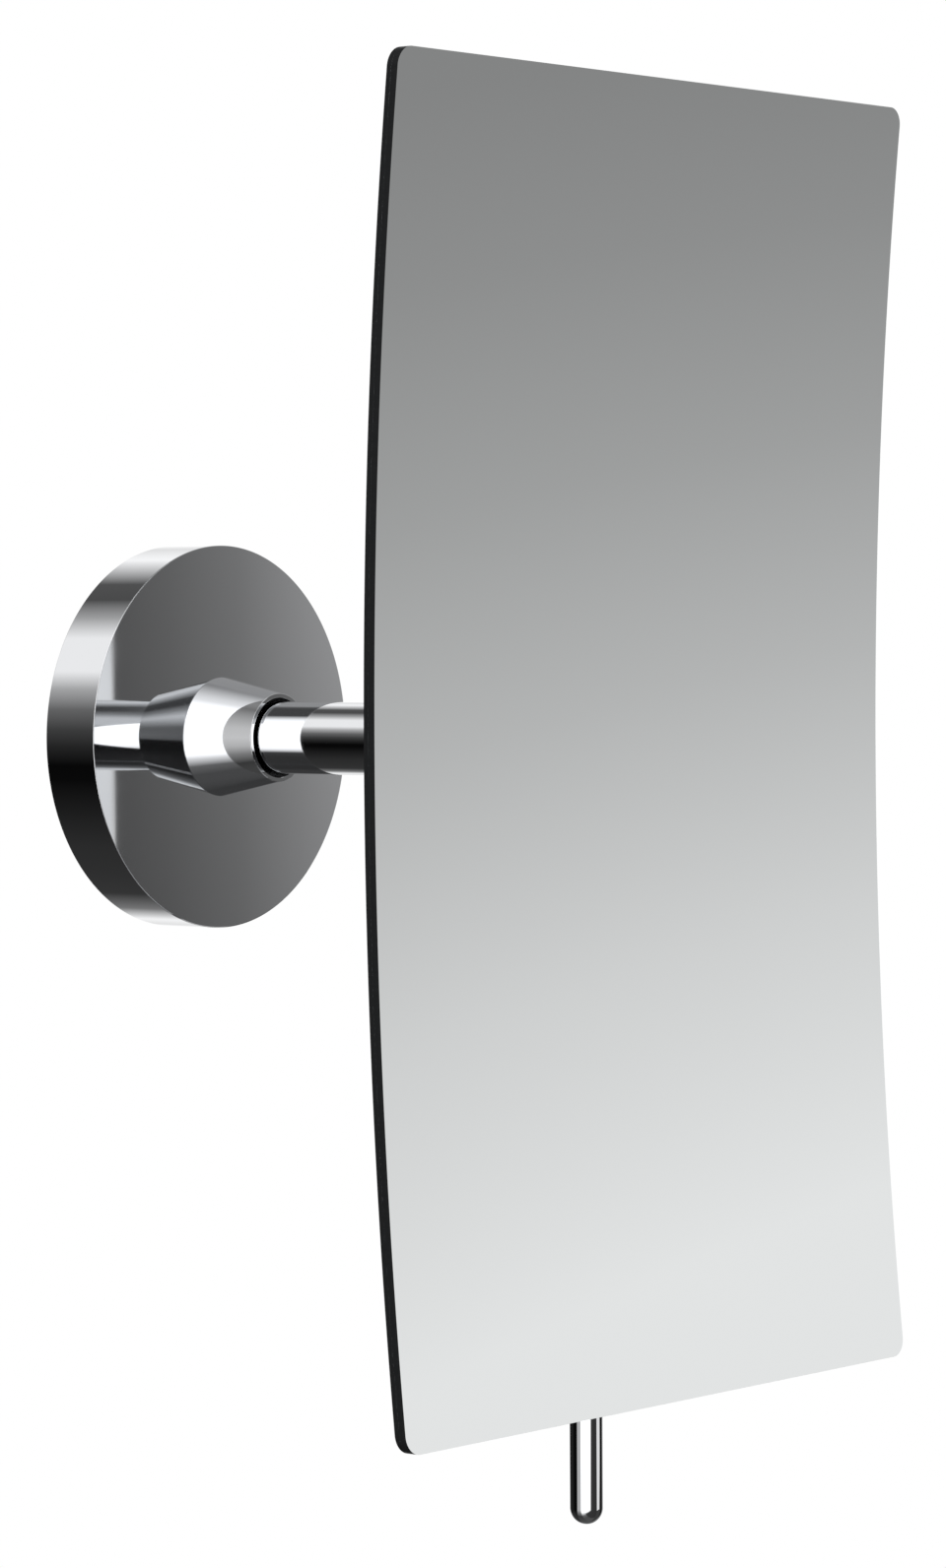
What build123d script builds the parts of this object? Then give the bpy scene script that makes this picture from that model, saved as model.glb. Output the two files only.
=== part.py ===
from build123d import *

import os
from math import acos, asin, cos, degrees, radians, sin, sqrt, tan

# Wall magnifying mirror: a mirror panel bent about a level axis, carried on a ball joint at the end of a
# straight tube, which swivels in a tapered collar on a round wall rosette.
# Millimetres. The origin is the centre of the wall face and the wall is the plane y = 0. +Z is up, +X is
# to the right, and the mirror stands out from the wall towards -Y. A distance from the wall is called out.

# Rosette, wall plate and grub screw
rosette_diameter = 64.2
rosette_depth = 10.5
rosette_face_wall = 2.5
rosette_rim_wall = 2.6
plate_gap = 0.3
plate_thickness = 6.0
plate_bore_gap = 0.9
wall_screw_spacing = 42.0
wall_screw_hole_radius = 2.6
wall_screw_sink_radius = 4.9
grub_radius = 2.0
grub_length = 4.2
grub_out = 3.2
grub_sunk = 0.5
grub_key_radius = 1.1
grub_key_depth = 1.6

# Arm tube and swivel stud
tube_diameter = 12.0
tube_wall = 1.0
tube_length = 60.2
plug_fit = 0.02
plug_length = 10.0
shoulder_thickness = 1.5
tail_radius = 3.0
tail_proud = 0.3

# Tapered collar, its bush and its nut
running_fit = 0.05
bush_wall = 0.6
bush_length = 8.5
bush_recess = 2.5
collar_lip = 0.7
collar_flare = 2.65
collar_length = 12.45
collar_floor_thickness = 2.0
collar_spigot_wall = 1.35
collar_spigot_length = 5.5
nut_thickness = 2.8
nut_land = 2.5

# Friction stack of the swivel
nylon_washer_thickness = 0.8
thrust_washer_thickness = 0.8
spring_washer_thickness = 0.7
lock_nut_thickness = 2.8
lock_nut_flats = 10.0
washer_gap = 0.25

# Ball joint
ball_radius = 7.0
neck_radius = 3.2
neck_reach = 12.0
liner_wall = 0.95
liner_reach = 40.0
pan_limit = 20.0
tilt_limit = 20.0
throat_margin = 5.0
mouth_gap = 0.6
socket_bore_gap = 0.6
socket_wall = 4.4
cap_rear_depth = 6.4
cap_flange_thickness = 1.9
cap_plug_depth = 1.0
cap_plug_wall = 1.8
cap_gap = 0.2
spanner_hole_radius = 1.0
spanner_hole_depth = 1.4
cup_start = 2.5
cup_length = 4.5
cup_bore_radius = 5.5
disc_spring_thickness = 1.2

# Hub flange, its screws and the adhesive pad
flange_thickness = 2.5
flange_lip = 5.0
pad_thickness = 1.0
pad_inset = 1.0
hub_screw_count = 3
hub_screw_start = 90.0
hub_screw_radius = 1.5
hub_screw_head_radius = 2.8
hub_screw_grip = 4.2
hub_key_radius = 1.2
hub_key_depth = 1.1

# Mirror panel and handle
panel_width = 132.0
panel_height = 208.0
panel_corner_radius = 3.0
panel_bend_radius = 992.0
pane_thickness = 1.2
back_plate_thickness = 0.86
handle_diameter = 5.3
handle_drop = 21.0
handle_from_ball = 2.35
handle_spigot_radius = 2.0
handle_spigot_length = 3.7
handle_chamfer = 0.4

# How far a cutter runs past what it cuts, and the play left in a threaded or drilled hole
spare = 1.0
hole_gap = 0.05

# Places along the arm, as distances from the wall
rosette_radius = rosette_diameter / 2
rosette_inside = rosette_depth - rosette_face_wall
collar_mouth = rosette_depth + collar_length
floor_front = rosette_inside
floor_rear = floor_front - collar_floor_thickness
spigot_rear = rosette_depth - collar_spigot_length
bush_front = collar_mouth - bush_recess
shoulder_rear = floor_front + nylon_washer_thickness
tube_rear = shoulder_rear + shoulder_thickness
tube_front = tube_rear + tube_length
neck_rear = tube_front + shoulder_thickness
ball_out = neck_rear + neck_reach
cap_rear = ball_out - cap_rear_depth
cap_flange_front = cap_rear + cap_flange_thickness
cap_plug_front = ball_out - cap_plug_depth
socket_rear = cap_flange_front
handle_out = ball_out + handle_from_ball
cup_rear = ball_out + cup_start
cup_front = cup_rear + cup_length
socket_front = cup_front + disc_spring_thickness
flange_front = socket_front + flange_thickness
panel_back = flange_front + pad_thickness
panel_face = panel_back + back_plate_thickness + pane_thickness

# Radii about the arm's axis
tube_radius = tube_diameter / 2
tube_inner_radius = tube_radius - tube_wall
plug_radius = tube_inner_radius - plug_fit
bush_bore_radius = tube_radius + running_fit
collar_bore_radius = bush_bore_radius + bush_wall
collar_mouth_radius = collar_bore_radius + collar_lip
collar_base_radius = collar_mouth_radius + collar_flare
spigot_radius = collar_bore_radius + collar_spigot_wall
nut_radius = spigot_radius + nut_land
nut_corner_radius = nut_radius / cos(radians(30))
plate_radius = rosette_radius - rosette_rim_wall - plate_gap
plate_bore_radius = nut_corner_radius + plate_bore_gap
washer_radius = collar_bore_radius - washer_gap
tail_hole_radius = tail_radius + running_fit
liner_bore_radius = ball_radius + running_fit
liner_radius = liner_bore_radius + liner_wall
seat_radius = liner_radius + running_fit
socket_bore_radius = liner_radius + socket_bore_gap
socket_radius = socket_bore_radius + socket_wall
cap_plug_radius = socket_bore_radius + cap_plug_wall
hub_screw_circle = (socket_bore_radius + socket_radius) / 2
flange_radius = socket_radius + flange_lip

# The neck leans by the combined swing when pan and tilt are both at their limits
swing = degrees(acos(cos(radians(pan_limit)) * cos(radians(tilt_limit))))
throat_angle = swing + degrees(asin(neck_radius / seat_radius)) + throat_margin
throat_radius = seat_radius * sin(radians(throat_angle))
throat_out = ball_out - seat_radius * cos(radians(throat_angle))
mouth_radius = cap_rear_depth * tan(radians(swing)) + neck_radius / cos(radians(swing)) + mouth_gap

# The panel is bent about a level axis in front of it
bend_axis_out = panel_face + panel_bend_radius
pane_back_radius = panel_bend_radius + pane_thickness
plate_back_radius = pane_back_radius + back_plate_thickness
panel_sagitta = panel_bend_radius - sqrt(panel_bend_radius**2 - (panel_height / 2) ** 2)
panel_blank_depth = panel_face - panel_back + panel_sagitta + spare
handle_end = panel_height / 2 + handle_drop

# Half sections are drawn on this plane: across is the radius and up the page is out from the wall
turning_plane = Plane(origin=(0, 0, 0), x_dir=(1, 0, 0), z_dir=(0, 0, -1))
ball_centre = (0, -ball_out, 0)
bend_axis = (0, -bend_axis_out, 0)
along_x = (0, 90, 0)


def out_plane(out):
    """The plane parallel to the wall at this distance, facing away from the wall."""
    return Plane.XZ.offset(out)


def half_section(*points):
    """A closed half section from (radius, out) points, to be turned about the arm's axis."""
    with BuildSketch(turning_plane) as section:
        with BuildLine():
            Polyline(*points, close=True)
        make_face()
    return section.sketch


def washer(outer_radius, bore_radius, rear, thickness):
    """A flat ring about the arm's axis."""
    with BuildPart() as ring:
        with BuildSketch(out_plane(rear)):
            Circle(outer_radius)
            Circle(bore_radius, mode=Mode.SUBTRACT)
        extrude(amount=thickness)
    return ring


def hexagon_nut(flat_radius, bore_radius, rear, thickness):
    """A hexagon nut about the arm's axis, with its flats' half width given."""
    with BuildPart() as nut:
        with BuildSketch(out_plane(rear)):
            RegularPolygon(flat_radius, 6, major_radius=False)
            Circle(bore_radius, mode=Mode.SUBTRACT)
        extrude(amount=thickness)
    return nut


def bent_sheet(front_radius, back_radius):
    """One sheet of the panel, between two cylinders about the bend axis."""
    with BuildPart() as sheet:
        with BuildSketch(out_plane(panel_back)):
            RectangleRounded(panel_width, panel_height, panel_corner_radius)
        extrude(amount=panel_blank_depth)
        with Locations(bend_axis):
            cutter_length = panel_width + 2 * spare
            Cylinder(back_radius, cutter_length, rotation=along_x, mode=Mode.INTERSECT)
            Cylinder(front_radius, cutter_length, rotation=along_x, mode=Mode.SUBTRACT)
    return sheet


# Wall plate: a cast ring screwed to the wall, with a dimple in its rim for the grub screw
with BuildPart() as wall_plate:
    with BuildSketch(out_plane(0)):
        Circle(plate_radius)
        Circle(plate_bore_radius, mode=Mode.SUBTRACT)
    extrude(amount=plate_thickness)
    with Locations(out_plane(plate_thickness)):
        with GridLocations(wall_screw_spacing, 0, 2, 1):
            CounterSinkHole(wall_screw_hole_radius, wall_screw_sink_radius)
    with BuildSketch(Plane.XY.offset(-plate_radius - spare)):
        with Locations((0, -grub_out)):
            Circle(grub_radius + hole_gap)
    extrude(amount=spare + grub_length - rosette_rim_wall + grub_sunk, mode=Mode.SUBTRACT)

# Rosette: a round cup with a flat face and sharp edges, which hides the wall plate
with BuildPart() as rosette:
    with BuildSketch(out_plane(0)):
        Circle(rosette_radius)
    extrude(amount=rosette_depth)
    with BuildSketch(out_plane(0)):
        Circle(rosette_radius - rosette_rim_wall)
    extrude(amount=rosette_inside, mode=Mode.SUBTRACT)
    with BuildSketch(out_plane(rosette_inside)):
        Circle(spigot_radius + hole_gap)
    extrude(amount=rosette_face_wall, mode=Mode.SUBTRACT)
    with BuildSketch(Plane.XY.offset(-rosette_radius - spare)):
        with Locations((0, -grub_out)):
            Circle(grub_radius + hole_gap)
    extrude(amount=rosette_rim_wall + 2 * spare, mode=Mode.SUBTRACT)

# Grub screw: goes up through the rosette's rim into the plate's dimple
with BuildPart() as rosette_grub_screw:
    with BuildSketch(Plane.XY.offset(-rosette_radius + grub_sunk)) as grub_outline:
        with Locations((0, -grub_out)):
            Circle(grub_radius)
    extrude(amount=grub_length)
    chamfer(rosette_grub_screw.edges().sort_by(Axis.Z)[-1], grub_radius / 2)
    with BuildSketch(Plane.XY.offset(-rosette_radius + grub_sunk)):
        with Locations((0, -grub_out)):
            RegularPolygon(grub_key_radius, 6)
    extrude(amount=grub_key_depth, mode=Mode.SUBTRACT)

# Collar: tapered outside, bored for the bush, with a floor that the swivel clamps and a threaded spigot
with BuildPart() as collar:
    collar_section = half_section(
        (tail_hole_radius, floor_rear),
        (tail_hole_radius, floor_front),
        (collar_bore_radius, floor_front),
        (collar_bore_radius, collar_mouth),
        (collar_mouth_radius, collar_mouth),
        (collar_base_radius, rosette_depth),
        (spigot_radius, rosette_depth),
        (spigot_radius, spigot_rear),
        (collar_bore_radius, spigot_rear),
        (collar_bore_radius, floor_rear),
    )
    revolve(profiles=collar_section, axis=Axis.Y)

# Collar nut: holds the collar to the rosette's face from behind
collar_nut = hexagon_nut(nut_radius, spigot_radius, rosette_inside - nut_thickness, nut_thickness)

# Collar bush: the plastic sleeve that guides the tube, set back from the collar's mouth
collar_bush = washer(
    collar_bore_radius - plug_fit, bush_bore_radius, bush_front - bush_length, bush_length
)

# Friction washers, thrust washer, spring washer and lock nut: the stack that holds the swivel stud
friction_washer_front = washer(
    washer_radius, tail_hole_radius, floor_front, nylon_washer_thickness
)
rear_washer_rear = floor_rear - nylon_washer_thickness
thrust_washer_rear = rear_washer_rear - thrust_washer_thickness
spring_washer_rear = thrust_washer_rear - spring_washer_thickness
lock_nut_rear = spring_washer_rear - lock_nut_thickness
friction_washer_rear = washer(
    washer_radius, tail_hole_radius, rear_washer_rear, nylon_washer_thickness
)
thrust_washer = washer(
    washer_radius, tail_hole_radius, thrust_washer_rear, thrust_washer_thickness
)
spring_washer = washer(
    washer_radius, tail_hole_radius, spring_washer_rear, spring_washer_thickness
)
lock_nut = hexagon_nut(lock_nut_flats / 2, tail_radius, lock_nut_rear, lock_nut_thickness)

# Swivel stud: plugged into the tube's wall end, with a threaded tail through the collar's floor
with BuildPart() as swivel_stud:
    tail_rear = lock_nut_rear - tail_proud
    stud_section = half_section(
        (0, tail_rear),
        (tail_radius, tail_rear),
        (tail_radius, shoulder_rear),
        (tube_radius, shoulder_rear),
        (tube_radius, tube_rear),
        (plug_radius, tube_rear),
        (plug_radius, tube_rear + plug_length),
        (0, tube_rear + plug_length),
    )
    revolve(profiles=stud_section, axis=Axis.Y)

# Arm tube
arm_tube = washer(tube_radius, tube_inner_radius, tube_rear, tube_length)

# Ball stud: plugged into the tube's front end, with a slim neck that lets the socket swing
with BuildPart() as ball_stud:
    neck_section = half_section(
        (0, tube_front - plug_length),
        (plug_radius, tube_front - plug_length),
        (plug_radius, tube_front),
        (tube_radius, tube_front),
        (tube_radius, neck_rear),
        (neck_radius, neck_rear),
        (neck_radius, ball_out),
        (0, ball_out),
    )
    revolve(profiles=neck_section, axis=Axis.Y)
    with Locations(ball_centre):
        Sphere(ball_radius)

# Ball liner: a plastic band about the ball, round both inside and outside
with BuildPart() as ball_liner:
    with BuildSketch(turning_plane):
        with BuildLine():
            bore_arc = CenterArc((0, ball_out), liner_bore_radius, -liner_reach, 2 * liner_reach)
            outer_arc = CenterArc((0, ball_out), liner_radius, -liner_reach, 2 * liner_reach)
            Line(bore_arc @ 0, outer_arc @ 0)
            Line(bore_arc @ 1, outer_arc @ 1)
        make_face()
    revolve(axis=Axis.Y)

# Socket cap: screwed into the socket from behind, with the rear seat and a flared mouth for the neck
with BuildPart() as socket_cap:
    cap_section = half_section(
        (mouth_radius, cap_rear),
        (socket_radius, cap_rear),
        (socket_radius, cap_flange_front),
        (cap_plug_radius, cap_flange_front),
        (cap_plug_radius, cap_plug_front),
        (throat_radius, cap_plug_front),
        (throat_radius, throat_out),
    )
    revolve(profiles=cap_section, axis=Axis.Y)
    with Locations(ball_centre):
        Sphere(seat_radius, mode=Mode.SUBTRACT)
    with BuildSketch(out_plane(cap_rear)):
        with GridLocations(socket_radius + mouth_radius, 0, 2, 1):
            Circle(spanner_hole_radius)
    extrude(amount=spanner_hole_depth, mode=Mode.SUBTRACT)

# Socket body: the turned housing of the joint, tapped below for the handle and in front for the hub
with BuildPart() as socket_body:
    body_section = half_section(
        (cap_plug_radius + hole_gap, socket_rear),
        (socket_radius, socket_rear),
        (socket_radius, socket_front),
        (socket_bore_radius, socket_front),
        (socket_bore_radius, cap_plug_front + cap_gap),
        (cap_plug_radius + hole_gap, cap_plug_front + cap_gap),
    )
    revolve(profiles=body_section, axis=Axis.Y)
    with BuildSketch(out_plane(socket_front)):
        with PolarLocations(hub_screw_circle, hub_screw_count, hub_screw_start):
            Circle(hub_screw_radius + hole_gap)
    extrude(amount=-hub_screw_grip, mode=Mode.SUBTRACT)
    with BuildSketch(Plane.XY.offset(-socket_radius - spare)):
        with Locations((0, -handle_out)):
            Circle(handle_spigot_radius + hole_gap)
    extrude(amount=spare + handle_spigot_length + cap_gap, mode=Mode.SUBTRACT)

# Pressure cup: the front seat, pushed against the liner by the disc spring
with BuildPart() as pressure_cup:
    with BuildSketch(out_plane(cup_rear)):
        Circle(socket_bore_radius - hole_gap)
        Circle(cup_bore_radius, mode=Mode.SUBTRACT)
    extrude(amount=cup_length)
    with Locations(ball_centre):
        Sphere(seat_radius, mode=Mode.SUBTRACT)

# Disc spring
disc_spring = washer(
    socket_bore_radius - hole_gap, cup_bore_radius, cup_front, disc_spring_thickness
)

# Hub flange: closes the socket in front and carries the panel
with BuildPart() as hub_flange:
    with BuildSketch(out_plane(socket_front)):
        Circle(flange_radius)
    extrude(amount=flange_thickness)
    with Locations(out_plane(flange_front)):
        with PolarLocations(hub_screw_circle, hub_screw_count, hub_screw_start):
            CounterSinkHole(hub_screw_radius + hole_gap, hub_screw_head_radius + hole_gap)

# Hub screws: countersunk, with hexagon sockets
with BuildPart() as hub_screws:
    head_depth = hub_screw_head_radius - hub_screw_radius
    with BuildSketch(out_plane(socket_front - hub_screw_grip)):
        with PolarLocations(hub_screw_circle, hub_screw_count, hub_screw_start):
            Circle(hub_screw_radius)
    extrude(amount=hub_screw_grip + flange_thickness - head_depth)
    with BuildSketch(out_plane(flange_front - head_depth)):
        with PolarLocations(hub_screw_circle, hub_screw_count, hub_screw_start):
            Circle(hub_screw_radius)
    extrude(amount=head_depth, taper=-45)
    with BuildSketch(out_plane(flange_front)):
        with PolarLocations(hub_screw_circle, hub_screw_count, hub_screw_start):
            RegularPolygon(hub_key_radius, 6)
    extrude(amount=-hub_key_depth, mode=Mode.SUBTRACT)

# Adhesive pad: fills the space between the flat flange and the bent panel
with BuildPart() as adhesive_pad:
    with BuildSketch(out_plane(flange_front)):
        Circle(flange_radius - pad_inset)
    extrude(amount=pad_thickness + spare)
    with Locations(bend_axis):
        Cylinder(plate_back_radius, panel_width, rotation=along_x, mode=Mode.SUBTRACT)

# Back plate and mirror pane: two sheets of one outline, bent together
back_plate = bent_sheet(pane_back_radius, plate_back_radius)
mirror_pane = bent_sheet(panel_bend_radius, pane_back_radius)

# Handle rod: round at its lower end, with a threaded spigot into the socket body
with BuildPart() as handle_rod:
    handle_radius = handle_diameter / 2
    with BuildSketch(out_plane(handle_out)):
        with BuildLine():
            tip = RadiusArc((0, -handle_end), (handle_radius, handle_radius - handle_end), -handle_radius)
            Polyline(
                tip @ 1,
                (handle_radius, -socket_radius - handle_chamfer),
                (handle_radius - handle_chamfer, -socket_radius),
                (handle_spigot_radius, -socket_radius),
                (handle_spigot_radius, handle_spigot_length - socket_radius),
                (0, handle_spigot_length - socket_radius),
                tip @ 0,
            )
        make_face()
    revolve(axis=Axis((0, -handle_out, 0), (0, 0, 1)))

# Every piece is labelled with its name and written to a file of its own
pieces = {
    "wall_plate": wall_plate,
    "rosette": rosette,
    "rosette_grub_screw": rosette_grub_screw,
    "collar": collar,
    "collar_nut": collar_nut,
    "collar_bush": collar_bush,
    "friction_washer_front": friction_washer_front,
    "friction_washer_rear": friction_washer_rear,
    "thrust_washer": thrust_washer,
    "spring_washer": spring_washer,
    "lock_nut": lock_nut,
    "swivel_stud": swivel_stud,
    "arm_tube": arm_tube,
    "ball_stud": ball_stud,
    "ball_liner": ball_liner,
    "socket_cap": socket_cap,
    "socket_body": socket_body,
    "pressure_cup": pressure_cup,
    "disc_spring": disc_spring,
    "hub_flange": hub_flange,
    "hub_screws": hub_screws,
    "adhesive_pad": adhesive_pad,
    "back_plate": back_plate,
    "mirror_pane": mirror_pane,
    "handle_rod": handle_rod,
}
os.makedirs("parts", exist_ok=True)
for name, piece in pieces.items():
    piece.part.label = name
    export_step(piece.part, f"parts/{name}.step")
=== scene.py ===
import math

import bmesh
import bpy
from mathutils import Euler, Matrix, Vector


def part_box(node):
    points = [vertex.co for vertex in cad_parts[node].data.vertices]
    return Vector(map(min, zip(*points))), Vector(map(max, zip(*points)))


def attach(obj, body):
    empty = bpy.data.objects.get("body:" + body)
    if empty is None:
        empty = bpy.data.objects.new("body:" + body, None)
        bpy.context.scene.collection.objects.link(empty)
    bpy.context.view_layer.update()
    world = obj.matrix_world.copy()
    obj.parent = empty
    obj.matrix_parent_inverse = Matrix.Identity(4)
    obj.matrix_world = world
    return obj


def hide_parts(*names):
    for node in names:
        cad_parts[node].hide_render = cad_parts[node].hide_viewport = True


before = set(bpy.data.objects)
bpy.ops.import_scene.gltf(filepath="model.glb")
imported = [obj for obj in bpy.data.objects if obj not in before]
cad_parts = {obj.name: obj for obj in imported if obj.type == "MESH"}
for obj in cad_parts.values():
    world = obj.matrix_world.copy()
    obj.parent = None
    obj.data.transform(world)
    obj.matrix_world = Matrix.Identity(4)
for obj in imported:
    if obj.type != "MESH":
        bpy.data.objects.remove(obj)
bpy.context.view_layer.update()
scene = bpy.context.scene
scene.view_settings.view_transform = "Standard"

# Viewpoint
# The photograph was taken with a long lens from the left of the mirror, a little above the arm's height.
# Its angles and distance follow from how the panel's edges and the round rosette are foreshortened.
camera_data = bpy.data.cameras.new("viewpoint")
camera_data.sensor_fit = "AUTO"
camera_data.sensor_width = 36.0
camera_data.lens = 119.9
viewpoint = bpy.data.objects.new("viewpoint", camera_data)
scene.collection.objects.link(viewpoint)
view_yaw = math.radians(-51.61)
view_pitch = math.radians(-1.93)
view_roll = math.radians(-0.30)
aim = Euler((math.pi / 2 + view_pitch, 0, view_yaw), "XYZ").to_matrix()
aim = aim @ Matrix.Rotation(view_roll, 3, "Z")
viewpoint.matrix_world = Matrix.Translation((-0.6616, -0.5882, 0.0214)) @ aim.to_4x4()
scene.camera = viewpoint


# Studio
# White surroundings with a pale floor well below the mirror. The bright metal is lit by a large hood of
# graded cards, which only reflections see: white and grey windows on the left, black low down on the right
# and on the wall's side, and in front on the right the grey to white field that the mirror pane looks at.
def add_node(tree, kind, inputs=None, stops=None, **settings):
    """Add one node, set its properties, inputs and links, and a colour ramp's (place, level) stops."""
    node = tree.nodes.new(kind)
    for name, value in settings.items():
        setattr(node, name, value)
    for name, value in (inputs or {}).items():
        if isinstance(value, bpy.types.NodeSocket):
            tree.links.new(value, node.inputs[name])
        else:
            node.inputs[name].default_value = value
    if stops:
        elements = node.color_ramp.elements
        while len(elements) < len(stops):
            elements.new(0.5)
        for element, (place, level) in zip(elements, stops):
            element.position = place
            element.color = (level, level, level, 1)
    return node


def work_out(tree, known, steps):
    """Work through (result, operation, term, term) steps, whose terms are numbers or earlier results."""
    for result, operation, *terms in steps:
        node = add_node(tree, "ShaderNodeMath", operation=operation)
        for socket, term in zip(node.inputs, terms):
            if isinstance(term, str):
                tree.links.new(known[term], socket)
            else:
                socket.default_value = term
        known[result] = node.outputs[0]
    return known


def linear(hex_colour):
    """The linear colour of an sRGB hex value such as "#8C8C8C"."""
    levels = [int(hex_colour[i : i + 2], 16) / 255 for i in (1, 3, 5)]
    mixed = [v / 12.92 if v <= 0.04045 else ((v + 0.055) / 1.055) ** 2.4 for v in levels]
    return (*mixed, 1.0)


def new_material(name):
    """A material with an empty node tree, and that tree."""
    material = bpy.data.materials.new(name)
    material.use_nodes = True
    material.node_tree.nodes.clear()
    return material, material.node_tree


def seen_directly(tree):
    """1 for rays from the camera and in mirrors and glass, 0 for the light that falls on the object."""
    path = add_node(tree, "ShaderNodeLightPath").outputs
    known = {name: path[f"Is {name} Ray"] for name in ("Camera", "Glossy", "Transmission")}
    steps = [("mirrored", "ADD", "Camera", "Glossy"), ("seen", "ADD", "mirrored", "Transmission")]
    return work_out(tree, known, steps)["seen"]


def white_surroundings():
    """A white world behind everything, with an even soft light on the object."""
    world = bpy.data.worlds.new("white_surroundings")
    world.use_nodes = True
    tree = world.node_tree
    tree.nodes.clear()
    soft = add_node(tree, "ShaderNodeBackground", {"Color": linear("#F4F5F7"), "Strength": 0.55})
    white = add_node(tree, "ShaderNodeBackground", {"Color": linear("#FFFFFF"), "Strength": 1.0})
    mixed = add_node(
        tree, "ShaderNodeMixShader", {0: seen_directly(tree), 1: soft.outputs[0], 2: white.outputs[0]}
    )
    add_node(tree, "ShaderNodeOutputWorld", {"Surface": mixed.outputs[0]})
    scene.world = world


def pale_floor():
    """A wide pale floor, white to the camera and in reflections."""
    mesh = bpy.data.meshes.new("floor")
    shape = bmesh.new()
    bmesh.ops.create_grid(shape, x_segments=8, y_segments=8, size=6.0)
    bmesh.ops.translate(shape, verts=shape.verts, vec=(0, 0, -1.2))
    shape.to_mesh(mesh)
    shape.free()
    floor = bpy.data.objects.new("floor", mesh)
    scene.collection.objects.link(floor)
    material, tree = new_material("painted_floor")
    paint = add_node(tree, "ShaderNodeBsdfDiffuse", {"Color": linear("#E9E9E8")})
    glow = add_node(tree, "ShaderNodeEmission", {"Color": linear("#FFFFFF"), "Strength": 1.0})
    mixed = add_node(
        tree, "ShaderNodeMixShader", {0: seen_directly(tree), 1: paint.outputs[0], 2: glow.outputs[0]}
    )
    add_node(tree, "ShaderNodeOutputMaterial", {"Surface": mixed.outputs[0]})
    mesh.materials.append(material)


def only_in_reflections(card):
    """Hide a card from the camera and from every ray but a mirror's."""
    card.visible_camera = False
    card.visible_diffuse = False
    card.visible_transmission = False
    card.visible_volume_scatter = False
    card.visible_shadow = False


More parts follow.
